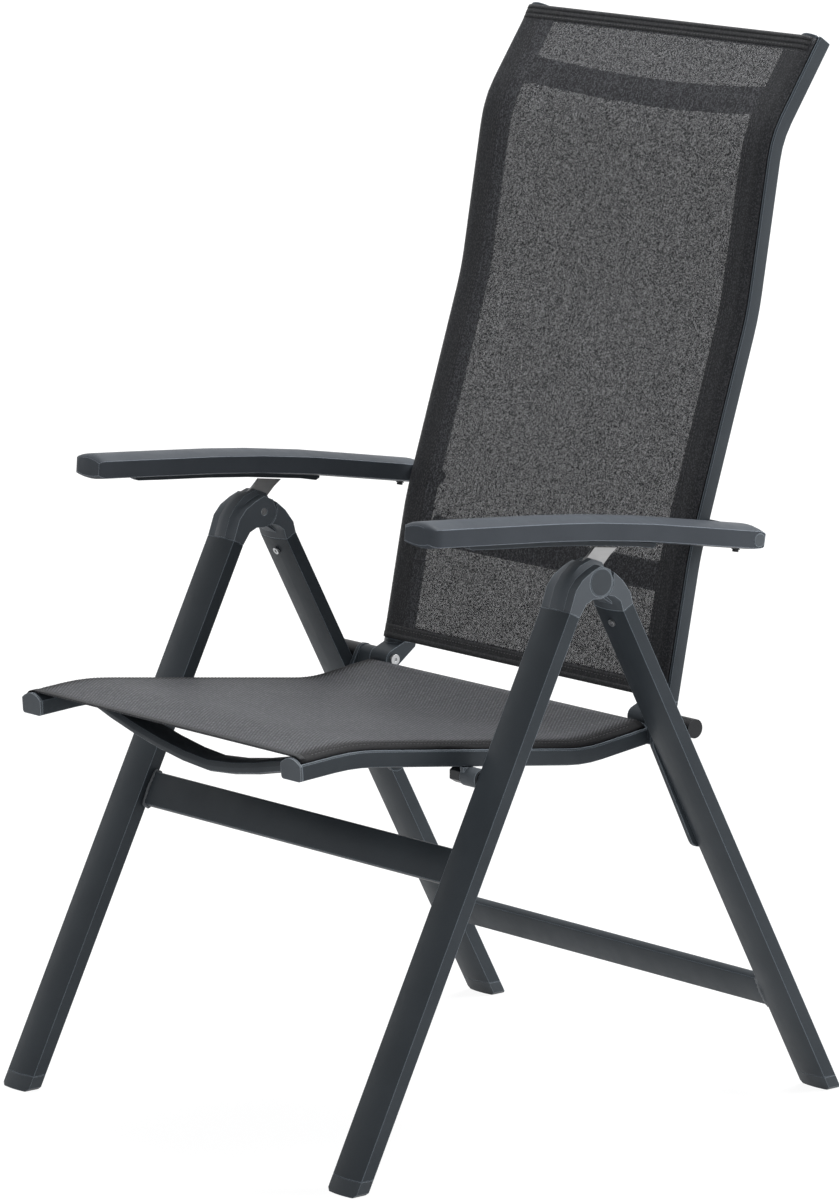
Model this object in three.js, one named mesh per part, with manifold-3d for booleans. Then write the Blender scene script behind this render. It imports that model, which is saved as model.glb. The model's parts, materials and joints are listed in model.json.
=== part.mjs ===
// Folding sling patio chair, in millimetres, +Z up, the sitter faces -Y
import * as THREE from "three";
import { mergeVertices } from "three/addons/utils/BufferGeometryUtils.js";
import Module from "manifold-3d";

const solids = await Module();
solids.setup();

// Clearances and facets
const gap = 0.3;
const runningGap = 0.1;
const weld = 0.001;
const facets = 16;
const fineFacets = 24;
const crownFacets = 6;

// Widths across one side, from the rails outwards
const railInnerX = 195;
const railWidth = 30.5;
const railEyeInset = 6;
const railEyeWidth = 18.5;
const linkClearance = 0.5;
const linkThickness = 5;
const legClearance = 1.5;
const armClearance = 4.5;
const legWidth = 44;
const armWidth = 50;

// Legs: a flat-sided tube with bulged front and back, leaning from one shared pivot
const pivotHeight = 578;
const legSide = 14;
const legBulge = 2.5;
const legWall = 1.7;
const legOffset = 18;
const frontLean = -THREE.MathUtils.degToRad(26.8);
const rearLean = THREE.MathUtils.degToRad(28.3);
const frontSeam = 42;
const rearSeam = 43.5;
const footHeight = 15;
const footChamferWidth = 4;
const footChamferHeight = 3;
const spigotLength = 22;
const spigotOverlap = 1;

// Cross bars welded between the legs
const barHeight = 37;
const barDepth = 11;
const barRadius = 3;
const barWall = 1.8;
const frontBarDrop = 317;
const rearBarDrop = 543;
const rearBarInset = 6;

// Knuckles about the shared pivot, outlines relative to it as [y, z]
const armRadius = 16.7;
const eyeRadius = 16;
const tongueWidth = 19;
const boltRadius = 4;
const capRadius = 14.6;
const capDepth = 2.2;
const capProud = 0.6;
const capChamfer = 0.8;
const frontArmOutline = [
  [-33.5, -5],
  [-24.5, 5],
  [-11.5, 12.2],
  [0, 16.7],
  [11.8, 11.8],
  [16.7, 0],
  [14.5, -8.4],
  [8.4, -14.5],
  [0, -16.7],
  [-10.5, -16],
  [-19.5, -20],
];
const frontHoodOutline = [
  [-36.5, -4],
  [-28.5, 7.5],
  [-16.5, 17.5],
  [0, 22.5],
  [13.8, 17.8],
  [21.6, 6],
  [15.5, -8.4],
  [8.4, -14.5],
  [0, -16.7],
  [-10, -18],
  [-17.5, -22.5],
];
const hoodShares = [
  [0, 0],
  [0.24, 0.04],
  [0.32, 0.85],
  [0.5, 1],
  [0.68, 0.85],
  [0.76, 0.04],
  [1, 0],
];
const rearArmOutline = [
  [26.5, -22],
  [18.5, -16.5],
  [10.5, -14.5],
  [17.5, 8],
  [28.5, -1],
  [39.5, -15],
];
const rearHoodOutline = [
  [24.5, -24.5],
  [17.5, -18.5],
  [10.5, -14.5],
  [18.5, 10.5],
  [31, 1.2],
  [42, -13.5],
];
const crownShares = [
  [0, 0],
  [0.12, 0.42],
  [0.3, 0.84],
  [0.5, 1],
  [0.7, 0.84],
  [0.88, 0.42],
  [1, 0],
];
const hoodClearRadius = 23;
const openFrom = -THREE.MathUtils.degToRad(123);
const openTo = THREE.MathUtils.degToRad(14);

const tongueSide = 2.8;
const neckRadius = 9;
const neckEndRadius = 8;

// Screws on the rear legs
const screwDrop = 59;
const screwHeadRadius = 4;
const screwHeadHeight = 2.6;
const screwShankRadius = 2;
const screwLength = 9;
const socketRadius = 1.9;
const socketDepth = 1.6;
const hexFacets = 6;

// Catch plate between knuckle hood and armrest, relative to the pivot as [y, z]
const plateThickness = 3;
const plateOutline = [
  [9.5, 31.9],
  [39.5, 28],
  [30.5, 21.8],
  [20.5, 12.5],
  [14.5, 11.4],
  [4.5, 18],
  [-8.5, 16.2],
  [-16, 9],
  [-21.5, 6.5],
  [-13.5, 15.5],
  [0.5, 23.4],
];

// Rails and back tubes: crowned on the fabric side, with a groove for the sling's edge cord.
// Their places, and all those below, are relative to the pivot as [y, z]; leans and bends in degrees
const railHalfHeight = 8;
const railCrown = 6.5;
const railCorner = 3;
const railWall = 1.8;
const grooveInset = 2;
const grooveWidth = 2.6;
const grooveDepth = 3.5;
const railStart = [-333, -160];
const railLean = 4;
const railFrontLength = 43;
const railFrontBendLength = 51;
const railFrontBend = -11.4;
const railMiddleLength = 257;
const railRearBendLength = 45;
const railRearBend = 14.4;
const railRearLength = 62;
const railRuns = [
  { length: railFrontLength, bend: 0 },
  { length: railFrontBendLength, bend: railFrontBend },
  { length: railMiddleLength, bend: 0 },
  { length: railRearBendLength, bend: railRearBend },
  { length: railRearLength, bend: 0 },
];
const railBendSteps = 3;
const backStart = [157, -152];
const backLean = 78.5;
const backLowLength = 135;
const backLowBendLength = 34;
const backLowBend = -6.5;
const backMiddleLength = 215;
const backMiddleBendLength = 42;
const backMiddleBend = 8;
const backHighLength = 138;
const backTopBendLength = 43;
const backTopBend = -24.4;
const backTopLength = 94;
const backRuns = [
  { length: backLowLength, bend: 0 },
  { length: backLowBendLength, bend: backLowBend },
  { length: backMiddleLength, bend: 0 },
  { length: backMiddleBendLength, bend: backMiddleBend },
  { length: backHighLength, bend: 0 },
  { length: backTopBendLength, bend: backTopBend },
  { length: backTopLength, bend: 0 },
];
const endCapLength = 2.8;
const endPlugLength = 14;

// Slings
const slingThickness = 1.3;
const slingTail = 3;
const slingTopShares = [0, 0.3, 0.55, 0.72];
const seatSlingInset = 1;
const backSlingInset = 4;

// Tubes across seat and back
const seatTubeDepth = 32;
const seatTubeHeight = 14.5;
const seatTubePlace = [-259.5, -155.7];
const seatTubeBow = 39.7;
const seatTubeShape = 1.56;
const crossHeight = 31;
const crossDepth = 13;
const crossWall = 1.6;
const upperCross = [327.5, 451];
const upperCrossLean = -THREE.MathUtils.degToRad(34.4);
const upperCrossBow = 22;
const lowerCross = [193.5, -35.5];
const lowerCrossLean = -THREE.MathUtils.degToRad(15.5);
const lowerCrossBow = 10;
const bowSteps = 10;

// Seat pivot on the front leg
const seatPivotDrop = 224.2;
const seatBossRadius = 10;
const seatBossInset = 25;
const seatCollar = 1.4;
const seatWebHalfLength = 8;
const seatBoltHeadRadius = 9.2;
const seatBoltHead = 17;
const collarThickness = 5;

// Recline pivot behind the rear leg, with roller, link and castings
const reclineDrop = 211.1;
const rollerRadius = 10;
const rollerInset = 5;
const linkHalfWidth = 12;
const linkEarRadius = 11;
const linkPivotDrop = 341.4;
const rivetRadius = 7;
const rivetHead = 2.4;
const castingRadius = 10;
const backEyeProud = 3;
const hingeHeadRadius = 5.75;
const hingeHead = 3.4;
const railPlate = 1.3;
const backPlate = 4;
const castingPlug = 20;
const castingOverlap = 1;
const linkTop = [124.4, -186];

// Armrests
const armHalfSide = 8.8;
const armCrown = 5.2;
const armUnderCrown = 3.1;
const armCrownFacets = 6;
const armLine = [
  [-219.5, 68.9],
  [-171, 65.5],
  [-123.5, 62],
  [-59.5, 57.2],
  [-5.5, 52],
  [66.5, 42.7],
  [131.5, 32],
  [192.5, 21.8],
  [222.5, 16.8],
];
const armEndLength = 12;
const frontEndShares = [
  [0, 0.62, 0.8, 0.72],
  [0.17, 0.82, 0.9, 0.9],
  [0.5, 0.95, 0.97, 1],
  [1, 1, 1, 1],
];
const rearEndShares = [
  [1, 1, 1, 1],
  [0.5, 1, 0.92, 0.97],
  [0.17, 0.99, 0.78, 0.88],
  [0, 0.97, 0.58, 0.72],
];
const armPivotPlace = [214.5, 18];
const armPinRadius = 4;
const armBushRadius = 6.4;
const armBushFlange = 9;
const armBushFlangeThickness = 1.2;
const plugRadius = 7;
const plugDepth = 2;
const plugProud = 0.5;
const lugRadius = 8.5;
const lugInset = 13.5;
const lugRootHeights = [10, 34];
const lugRootDepth = 7.2;
const rackWidth = 8;
const rackDepth = 4.6;
const rackLine = [
  [-157.5, 64.5],
  [-123.5, 62],
  [-59.5, 57.2],
  [-5.5, 52],
  [66.5, 42.7],
  [92.5, 38.4],
];
const studPoint = [206.5, 19.4];
const studHeadRadius = 3.25;
const studHead = 2.5;
const studWasherRadius = 4.4;
const studWasher = 1;
const studShankRadius = 1.5;
const studShank = 2;

// Colours
const frameColour = 0x3a4047;
const knuckleColour = 0x464c52;
const plasticColour = 0x25282b;
const steelColour = 0xb4b6b8;
const seatColour = 0x58595d;
const backColour = 0x48484c;

// Points and curves
const railCentreX = railInnerX + railWidth / 2;
const railOuterX = railInnerX + railWidth;
const backEyeInnerX = railInnerX - backEyeProud;
const railEyeInnerX = railOuterX - railEyeInset;
const railEyeOuterX = railEyeInnerX + railEyeWidth;
const linkInnerX = railEyeOuterX + linkClearance;
const linkOuterX = linkInnerX + linkThickness;
const legInnerX = linkOuterX + legClearance;
const legCentreX = legInnerX + legWidth / 2;
const legOuterX = legInnerX + legWidth;
const armInnerX = legInnerX - armClearance;
const armOuterX = armInnerX + armWidth;
const armCentreX = armInnerX + armWidth / 2;
const lugOuterX = armInnerX - 2 * gap - armBushFlangeThickness;
const lugInnerX = railOuterX - lugInset;
const seatBossInnerX = railInnerX + seatBossInset;
const seatBossOuterX = legInnerX - 2 * gap - seatCollar;
const rollerOuterX = legOuterX - rollerInset;
const legHalfDepth = legSide / 2 + legBulge;
const tongueInnerX = legCentreX - tongueWidth / 2;
const tongueOuterX = legCentreX + tongueWidth / 2;
const pivot = [0, pivotHeight];
const armPivot = placed(armPivotPlace);

function placed([y, z]) {
  return [y, z + pivotHeight];
}

function lerp(from, to, share) {
  return from + (to - from) * share;
}

function legPoint(lean, across, drop) {
  const y = across * Math.cos(lean) + drop * Math.sin(lean);
  const z = pivotHeight + across * Math.sin(lean) - drop * Math.cos(lean);
  return [y, z];
}

const seatPivot = legPoint(frontLean, -legOffset, seatPivotDrop);
const linkPivot = legPoint(rearLean, legOffset, linkPivotDrop);
const reclineAcross = legOffset + legHalfDepth + gap + rollerRadius;
const reclinePivot = legPoint(rearLean, reclineAcross, reclineDrop);

class SideLine extends THREE.Curve {
  constructor(x, start, lean, runs) {
    super();
    this.stations = [];
    let [y, z] = start;
    let angle = THREE.MathUtils.degToRad(lean);
    this.stations.push({ x, y, z, angle });
    for (const run of runs) {
      const steps = run.bend ? railBendSteps : 1;
      const turn = THREE.MathUtils.degToRad(run.bend) / steps;
      for (let i = 0; i < steps; i++) {
        const middle = angle + turn / 2;
        y += (run.length / steps) * Math.cos(middle);
        z += (run.length / steps) * Math.sin(middle);
        angle += turn;
        this.stations.push({ x, y, z, angle });
      }
    }
  }

  get steps() {
    return this.stations.length - 1;
  }

  getUtoTmapping(u) {
    return u;
  }

  getPoint(t) {
    const place = Math.min(t * this.steps, this.steps);
    const index = Math.min(Math.floor(place), this.steps - 1);
    const share = place - index;
    const a = this.stations[index];
    const b = this.stations[index + 1];
    return new THREE.Vector3(a.x, lerp(a.y, b.y, share), lerp(a.z, b.z, share));
  }

  getTangent(t) {
    const place = Math.min(t * this.steps, this.steps);
    const index = Math.min(Math.floor(place), this.steps - 1);
    const a = this.stations[index];
    const b = this.stations[index + 1];
    const angle = lerp(a.angle, b.angle, place - index);
    return new THREE.Vector3(0, Math.cos(angle), Math.sin(angle));
  }

  trimmed(before, after) {
    const copy = new SideLine(0, pivot, 0, []);
    copy.stations = this.stations.map((station) => ({ ...station, x: 0 }));
    const first = copy.stations[0];
    const last = copy.stations[copy.steps];
    first.y += before * Math.cos(first.angle);
    first.z += before * Math.sin(first.angle);
    last.y -= after * Math.cos(last.angle);
    last.z -= after * Math.sin(last.angle);
    return copy;
  }
}

class BowLine extends THREE.Curve {
  constructor(halfSpan, bow, power) {
    super();
    this.halfSpan = halfSpan;
    this.bow = bow;
    this.power = power;
  }

  getUtoTmapping(u) {
    return u;
  }

  getPoint(t) {
    const side = 2 * t - 1;
    const drop = this.bow * (1 - Math.abs(side) ** this.power);
    return new THREE.Vector3(this.halfSpan * side, drop, 0);
  }
}

const railLine = new SideLine(railCentreX, placed(railStart), railLean, railRuns);
const backLine = new SideLine(railCentreX, placed(backStart), backLean, backRuns);

// Joining and cutting
function toSolid(geometry) {
  const plain = geometry.clone();
  plain.deleteAttribute("normal");
  plain.deleteAttribute("uv");
  const merged = mergeVertices(plain, weld);
  return new solids.Manifold(
    new solids.Mesh({
      numProp: 3,
      vertProperties: new Float32Array(merged.attributes.position.array),
      triVerts: new Uint32Array(merged.index.array),
    }),
  );
}

function toGeometry(solid) {
  const mesh = solid.getMesh();
  const geometry = new THREE.BufferGeometry();
  geometry.setAttribute("position", new THREE.BufferAttribute(mesh.vertProperties, 3));
  geometry.setIndex(new THREE.BufferAttribute(mesh.triVerts, 1));
  return geometry;
}

function join(first, ...others) {
  return toGeometry(others.reduce((sum, other) => sum.add(toSolid(other)), toSolid(first)));
}

function cut(first, ...tools) {
  return toGeometry(tools.reduce((rest, tool) => rest.subtract(toSolid(tool)), toSolid(first)));
}

// Basic solids
function shapeOf(points) {
  return new THREE.Shape(points.map(([a, b]) => new THREE.Vector2(a, b)));
}

function pathOf(points) {
  return new THREE.Path(points.map(([a, b]) => new THREE.Vector2(a, b)));
}

function slab(points, fromX, toX, holes = []) {
  const shape = shapeOf(points);
  shape.holes = holes.map(pathOf);
  const geometry = new THREE.ExtrudeGeometry(shape, { depth: toX - fromX, bevelEnabled: false });
  const basis = new THREE.Matrix4().makeBasis(
    new THREE.Vector3(0, 1, 0),
    new THREE.Vector3(0, 0, 1),
    new THREE.Vector3(1, 0, 0),
  );
  geometry.applyMatrix4(basis);
  return geometry.translate(fromX, 0, 0);
}

function circle([y, z], radius, count = facets, turn = 0) {
  const points = [];
  for (let i = 0; i < count; i++) {
    const angle = turn + (i / count) * 2 * Math.PI;
    points.push([y + radius * Math.cos(angle), z + radius * Math.sin(angle)]);
  }
  return points;
}

function disc(centre, radius, fromX, toX, count = facets) {
  return slab(circle(centre, radius, count), fromX, toX);
}

function bossed(centre, steps, count = facets) {
  return join(...steps.map(([radius, fromX, toX]) => disc(centre, radius, fromX, toX, count)));
}

function hull(points) {
  const sorted = [...points].sort((a, b) => a[0] - b[0] || a[1] - b[1]);
  const chain = (list) => {
    const out = [];
    for (const p of list) {
      while (out.length > 1) {
        const [a, b] = out.slice(-2);
        const turn = (b[0] - a[0]) * (p[1] - a[1]) - (b[1] - a[1]) * (p[0] - a[0]);
        if (turn > weld) break;
        out.pop();
      }
      out.push(p);
    }
    return out.slice(0, -1);
  };
  return [...chain(sorted), ...chain(sorted.reverse())];
}

function roundedBox(halfWidth, halfHeight, radius) {
  const corners = [
    [halfWidth - radius, halfHeight - radius, 0],
    [radius - halfWidth, halfHeight - radius, 1],
    [radius - halfWidth, radius - halfHeight, 2],
    [halfWidth - radius, radius - halfHeight, 3],
  ];
  const points = [];
  for (const [x, y, quarter] of corners) {
    for (let i = 0; i <= 2; i++) {
      const angle = ((quarter + i / 2) * Math.PI) / 2;
      points.push([x + radius * Math.cos(angle), y + radius * Math.sin(angle)]);
    }
  }
  return points;
}

function bulged(halfWidth, halfSide, bulge) {
  const points = [];
  for (let i = 0; i <= crownFacets; i++) {
    const x = lerp(-halfWidth, halfWidth, i / crownFacets);
    points.push([x, -halfSide - bulge * (1 - (x / halfWidth) ** 2)]);
  }
  return [...points, ...points.map(([x, y]) => [-x, -y])];
}

function skin(rings, flat) {
  const count = rings[0].length;
  const positions = rings.flat(2);
  const index = [];
  for (let r = 0; r < rings.length - 1; r++) {
    for (let i = 0; i < count; i++) {
      const a = r * count + i;
      const b = r * count + ((i + 1) % count);
      index.push(a, b, b + count, a, b + count, a + count);
    }
  }
  const contour = flat.map(([u, v]) => new THREE.Vector2(u, v));
  const last = (rings.length - 1) * count;
  for (const [a, b, c] of THREE.ShapeUtils.triangulateShape(contour, [])) {
    index.push(a, c, b, last + a, last + b, last + c);
  }
  const geometry = new THREE.BufferGeometry();
  geometry.setAttribute("position", new THREE.Float32BufferAttribute(positions, 3));
  geometry.setIndex(index);
  return geometry;
}

function loft(edge, middle, shares) {
  const rings = shares.map(([across, share]) =>
    edge.map(([y, z], i) => [
      legInnerX + legWidth * across,
      lerp(y, middle[i][0], share),
      pivotHeight + lerp(z, middle[i][1], share),
    ]),
  );
  return skin(rings, edge);
}

function part(name, geometry, colour, roughness, metalness) {
  const material = new THREE.MeshStandardMaterial({ color: colour, roughness, metalness });
  const mesh = new THREE.Mesh(geometry, material);
  mesh.name = name;
  return mesh;
}

function painted(name, geometry) {
  return part(name, geometry, frameColour, 0.5, 0.4);
}

function moulded(name, geometry) {
  return part(name, geometry, knuckleColour, 0.6, 0);
}

function dark(name, geometry) {
  return part(name, geometry, plasticColour, 0.7, 0);
}

function steel(name, geometry) {
  return part(name, geometry, steelColour, 0.3, 1);
}

// Legs and feet
function legFrame(geometry, lean, side) {
  geometry.translate(legCentreX, side * legOffset, 0);
  geometry.rotateX(lean);
  return geometry.translate(0, 0, pivotHeight);
}

function heightOnLeg(height, lean, side, y) {
  const across = side * legOffset + y;
  return (height - pivotHeight - across * Math.sin(lean)) / Math.cos(lean);
}

function legPrism(inset, lean, side, top, bottom, hollow) {
  const outline = bulged(legWidth / 2 - inset, legSide / 2 - inset, legBulge);
  const shape = shapeOf(outline);
  if (hollow) {
    const wallSide = legSide / 2 - legWall;
    shape.holes = [pathOf(bulged(legWidth / 2 - legWall, wallSide, legBulge))];
  }
  const geometry = new THREE.ExtrudeGeometry(shape, { depth: 1, bevelEnabled: false });
  const position = geometry.attributes.position;
  for (let i = 0; i < position.count; i++) {
    const end = position.getZ(i) > 0.5 ? top : bottom;
    position.setZ(i, end(position.getY(i)));
  }
  return legFrame(geometry, lean, side);
}

function leg(lean, side, seam, tools) {
  const top = () => -seam - gap / 2;
  const bottom = (y) => heightOnLeg(footHeight + gap / 2, lean, side, y);
  return cut(legPrism(0, lean, side, top, bottom, true), ...tools);
}

function foot(lean, side) {
  const at = (height) => (y) => heightOnLeg(height, lean, side, y);
  const block = legPrism(0, lean, side, at(footHeight - gap / 2), at(0), false);
  const inset = legWall + gap;
  const spigotTop = footHeight + spigotLength;
  const spigot = legPrism(inset, lean, side, at(spigotTop), at(footHeight - spigotOverlap), false);
  const reach = pivotHeight;
  const wedge = (edgeX, inward) =>
    [
      [edgeX - inward * gap, -gap],
      [edgeX + inward * footChamferWidth, -gap],
      [edgeX + inward * footChamferWidth, 0],
      [edgeX, footChamferHeight],
      [edgeX - inward * gap, footChamferHeight],
    ];
  const corner = (edgeX, inward) => {
    const shape = shapeOf(wedge(edgeX, inward));
    const tool = new THREE.ExtrudeGeometry(shape, { depth: 2 * reach, bevelEnabled: false });
    return tool.rotateX(Math.PI / 2).translate(0, reach, 0);
  };
  return cut(join(block, spigot), corner(legInnerX, 1), corner(legOuterX, -1));
}

function crossBar(lean, side, across, drop) {
  const shape = shapeOf(roundedBox(barDepth / 2, barHeight / 2, barRadius));
  const halfBore = barDepth / 2 - barWall;
  shape.holes = [pathOf(roundedBox(halfBore, barHeight / 2 - barWall, barRadius - barWall))];
  const span = 2 * (legInnerX - gap);
  const geometry = new THREE.ExtrudeGeometry(shape, { depth: span, bevelEnabled: false });
  geometry.applyMatrix4(
    new THREE.Matrix4().makeBasis(
      new THREE.Vector3(0, 1, 0),
      new THREE.Vector3(0, 0, 1),
      new THREE.Vector3(1, 0, 0),
    ),
  );
  geometry.translate(-span / 2, side * legOffset + across, -drop);
  geometry.rotateX(lean);
  return geometry.translate(0, 0, pivotHeight);
}

// Knuckles
function seamCorner(lean, side, seam, across) {
  const [y, z] = legPoint(lean, side * legOffset + across, seam - gap / 2);
  return [y, z - pivotHeight];
}

function legSpigot(lean, side, seam) {
  const top = () => -seam + spigotOverlap;
  const bottom = () => -seam - spigotLength;
  return legPrism(legWall + gap, lean, side, top, bottom, false);
}

function sector(from, to, reach) {
  const points = [pivot];
  for (let i = 0; i <= crownFacets; i++) {
    const angle = lerp(from, to, i / crownFacets);
    points.push([reach * Math.cos(angle), pivotHeight + reach * Math.sin(angle)]);
  }
  return points;
}

function frontKnuckle() {
  const edgeFront = seamCorner(frontLean, -1, frontSeam, -legSide / 2);
  const edgeBack = seamCorner(frontLean, -1, frontSeam, legSide / 2);
  const hoodFront = seamCorner(frontLean, -1, frontSeam, -legHalfDepth);
  const hoodBack = seamCorner(frontLean, -1, frontSeam, legHalfDepth);
  const edge = [edgeBack, edgeFront, ...frontArmOutline].reverse();
  const hood = [hoodBack, hoodFront, ...frontHoodOutline].reverse();
  const body = join(loft(edge, hood, hoodShares), legSpigot(frontLean, -1, frontSeam));
  const slotFrom = legCentreX - plateThickness / 2 - gap;
  const slotTo = legCentreX + plateThickness / 2 + gap;
  const tools = [
    disc(pivot, armRadius + gap, tongueInnerX - gap, tongueOuterX + gap, fineFacets),
    slab(sector(openFrom, openTo, legWidth + frontSeam), tongueInnerX - gap, tongueOuterX + gap),
    disc(pivot, boltRadius + runningGap, legInnerX - gap, legOuterX + gap),
    disc(pivot, capRadius + gap, legOuterX - capDepth - gap, legOuterX + capDepth, fineFacets),
    slab(offsetOutline(platePoints(), gap), slotFrom, slotTo),
  ];
  return cut(body, ...tools);
}

function platePoints() {
  return plateOutline.map(placed);
}

function offsetOutline(points, amount) {
  const ring = points.flatMap((p) => circle(p, amount, crownFacets));
  return hull(ring);
}

function rearKnuckle() {
  const edgeBack = seamCorner(rearLean, 1, rearSeam, legSide / 2);
  const edgeFront = seamCorner(rearLean, 1, rearSeam, -legSide / 2);
  const hoodBack = seamCorner(rearLean, 1, rearSeam, legHalfDepth);
  const hoodFront = seamCorner(rearLean, 1, rearSeam, -legHalfDepth);
  const edge = [edgeBack, edgeFront, ...rearArmOutline].reverse();
  const hood = [hoodBack, hoodFront, ...rearHoodOutline].reverse();
  const clear = [
    disc(pivot, armRadius + 2 * gap, legInnerX - gap, legOuterX + gap, fineFacets),
    disc(pivot, hoodClearRadius, tongueInnerX - tongueSide, tongueOuterX + tongueSide, fineFacets),
  ];
  const shoulders = cut(loft(edge, hood, crownShares), ...clear);
  const neckEnd = legPoint(rearLean, legOffset, rearSeam - legHalfDepth);
  const neck = slab(
    hull([...circle(pivot, neckRadius, fineFacets), ...circle(neckEnd, neckEndRadius)]),
    tongueInnerX,
    tongueOuterX,
  );
  const eye = disc(pivot, eyeRadius, tongueInnerX, tongueOuterX, fineFacets);
  const body = join(shoulders, neck, eye, legSpigot(rearLean, 1, rearSeam));
  const screwHole = screwShank(runningGap + gap);
  return cut(body, disc(pivot, boltRadius + runningGap, legInnerX, legOuterX), screwHole);
}

// Screws and caps
function peg(x, [y, z], lean, steps, count = facets) {
  const pieces = steps.map(([radius, from, to]) => {
    const shape = shapeOf(circle([0, 0], radius, count));
    const piece = new THREE.ExtrudeGeometry(shape, { depth: to - from, bevelEnabled: false });
    return piece.translate(0, 0, from);
  });
  return join(...pieces).rotateX(lean).translate(x, y, z);
}

function screwPeg(steps, count) {
  const axis = legPoint(rearLean, legOffset, screwDrop);
  return peg(legCentreX, axis, Math.PI / 2 + rearLean, steps, count);
}

function screwShank(clearance) {
  const radius = screwShankRadius + clearance;
  return screwPeg([[radius, legHalfDepth - screwLength - clearance, legHalfDepth + gap]]);
}

function knuckleScrew() {
  const seat = legHalfDepth + gap;
  const top = seat + screwHeadHeight;
  const body = screwPeg([
    [screwHeadRadius, seat, top],
    [screwShankRadius, legHalfDepth - screwLength, seat + gap],
  ]);
  return cut(body, screwPeg([[socketRadius, top - socketDepth, top + gap]], hexFacets));
}

function knuckleCap() {
  const steps = [
    [capRadius, legOuterX - capDepth, legOuterX],
    [capRadius - capChamfer, legOuterX, legOuterX + capProud],
  ];
  return bossed(pivot, steps, fineFacets);
}

function knuckleBolt() {
  return disc(pivot, boltRadius, legInnerX + gap, legOuterX - capDepth - 2 * gap);
}

function catchPlate() {
  const half = plateThickness / 2;
  return slab(platePoints(), legCentreX - half, legCentreX + half);
}

// Rails and back tubes
function crownAt(across, inset = 0) {
  const half = railWidth / 2;
  return railHalfHeight + railCrown * (1 - (across / half) ** 2) - inset;
}

const grooveOuter = railWidth / 2 - grooveInset;
const grooveInner = grooveOuter - grooveWidth;
const grooveMiddle = (grooveOuter + grooveInner) / 2;
const grooveFloor = crownAt(grooveMiddle) - grooveDepth;

function bottomCorners(half, height, radius) {
  const left = [];
  const right = [];
  for (let i = 0; i <= 2; i++) {
    const angle = (i / 2) * (Math.PI / 2);
    const across = half - radius + radius * Math.cos(angle);
    const up = radius - height - radius * Math.sin(angle);
    right.unshift([across, up]);
    left.push([-across, up]);
  }
  return [...left, ...right];
}

function railOutline(grooved) {
  const half = railWidth / 2;
  const groove = [
    [grooveOuter, crownAt(grooveOuter)],
    [grooveOuter, grooveFloor],
    [grooveInner, grooveFloor],
    [grooveInner, crownAt(grooveInner)],
  ];
  const crown = [];
  for (let i = 0; i < crownFacets; i++) {
    const across = lerp(grooveInner, -half, i / crownFacets);
    crown.push([across, crownAt(across)]);
  }
  const start = [-half, railHalfHeight];
  const end = [half, railHalfHeight];
  const middle = grooved ? groove.slice(0, 3) : groove.slice(0, 1);
  return [start, ...bottomCorners(half, railHalfHeight, railCorner), end, ...middle, ...crown];
}

function boreOutline(inset) {
  const half = railWidth / 2 - inset;
  const under = grooveFloor - inset;
  const step = grooveInner - inset;
  const crown = [];
  for (let i = 0; i <= crownFacets; i++) {
    const across = lerp(step, -half, i / crownFacets);
    crown.push([across, crownAt(across, inset)]);
  }
  const base = inset - railHalfHeight;
  return [[-half, base], [half, base], [half, under], [step, under], ...crown];
}

function sweep(outline, line, holes = []) {
  const flipped = (points) => points.map(([across, up]) => [-across, up]).reverse();
  const shape = shapeOf(flipped(outline));
  shape.holes = holes.map((hole) => pathOf(flipped(hole)));
  const options = { steps: line.steps, extrudePath: line, bevelEnabled: false };
  return new THREE.ExtrudeGeometry(shape, options);
}

function stub(line, atEnd, from, to) {
  const station = line.stations[atEnd ? line.steps : 0];
  const y = station.y + from * Math.cos(station.angle);
  const z = station.z + from * Math.sin(station.angle);
  const lean = THREE.MathUtils.radToDeg(station.angle);
  return new SideLine(station.x, [y, z], lean, [{ length: to - from, bend: 0 }]);
}

function beside(line, key, value, up) {
  const index = line.stations.findIndex((station) => station[key] > value);
  const a = line.stations[index - 1];
  const b = line.stations[index];
  const share = (value - a[key]) / (b[key] - a[key]);
  const angle = lerp(a.angle, b.angle, share);
  const y = lerp(a.y, b.y, share) - up * Math.sin(angle);
  const z = lerp(a.z, b.z, share) + up * Math.cos(angle);
  return [y, z];
}

function tube(line) {
  return sweep(railOutline(true), line, [boreOutline(railWall)]);
}

function railCap() {
  const face = sweep(railOutline(false), stub(railLine, false, -gap - endCapLength, -gap));
  const plug = stub(railLine, false, -gap - castingOverlap, endPlugLength);
  return join(face, sweep(boreOutline(railWall + gap), plug));
}

function backTube() {
  const [low, high] = lugRootHeights.map((height) => height + pivotHeight);
  const roots = [
    beside(backLine, "z", low, -lugRootDepth),
    beside(backLine, "z", high, -lugRootDepth),
  ];
  const lug = slab(hull([...circle(armPivot, lugRadius), ...roots]), lugInnerX, lugOuterX);
  const lid = sweep(railOutline(true), stub(backLine, true, -railWall, 0));
  const bore = disc(armPivot, armPinRadius + runningGap, lugInnerX - gap, lugOuterX + gap);
  return cut(join(tube(backLine), lid, lug), bore);
}

// Slings
function slingOutline() {
  const under = gap;
  const over = gap + slingThickness;
  const centre = railCentreX;
  const tailInner = centre + grooveMiddle - slingThickness / 2;
  const tailOuter = centre + grooveMiddle + slingThickness / 2;
  const tailEnd = grooveFloor + grooveDepth - slingTail;
  const across = slingTopShares.map((share) => centre + share * grooveOuter);
  const top = across.map((x) => [x, crownAt(x - centre) + over]);
  const bottom = across.map((x) => [x, crownAt(x - centre) + under]).reverse();
  const half = [
    ...top,
    [tailOuter, crownAt(grooveMiddle) + over],
    [tailOuter, tailEnd],
    [tailInner, tailEnd],
    [tailInner, crownAt(grooveInner) + under],
    ...bottom,
  ];
  const mirrored = half.map(([x, up]) => [-x, up]).reverse();
  return [...half, ...mirrored];
}

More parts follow.
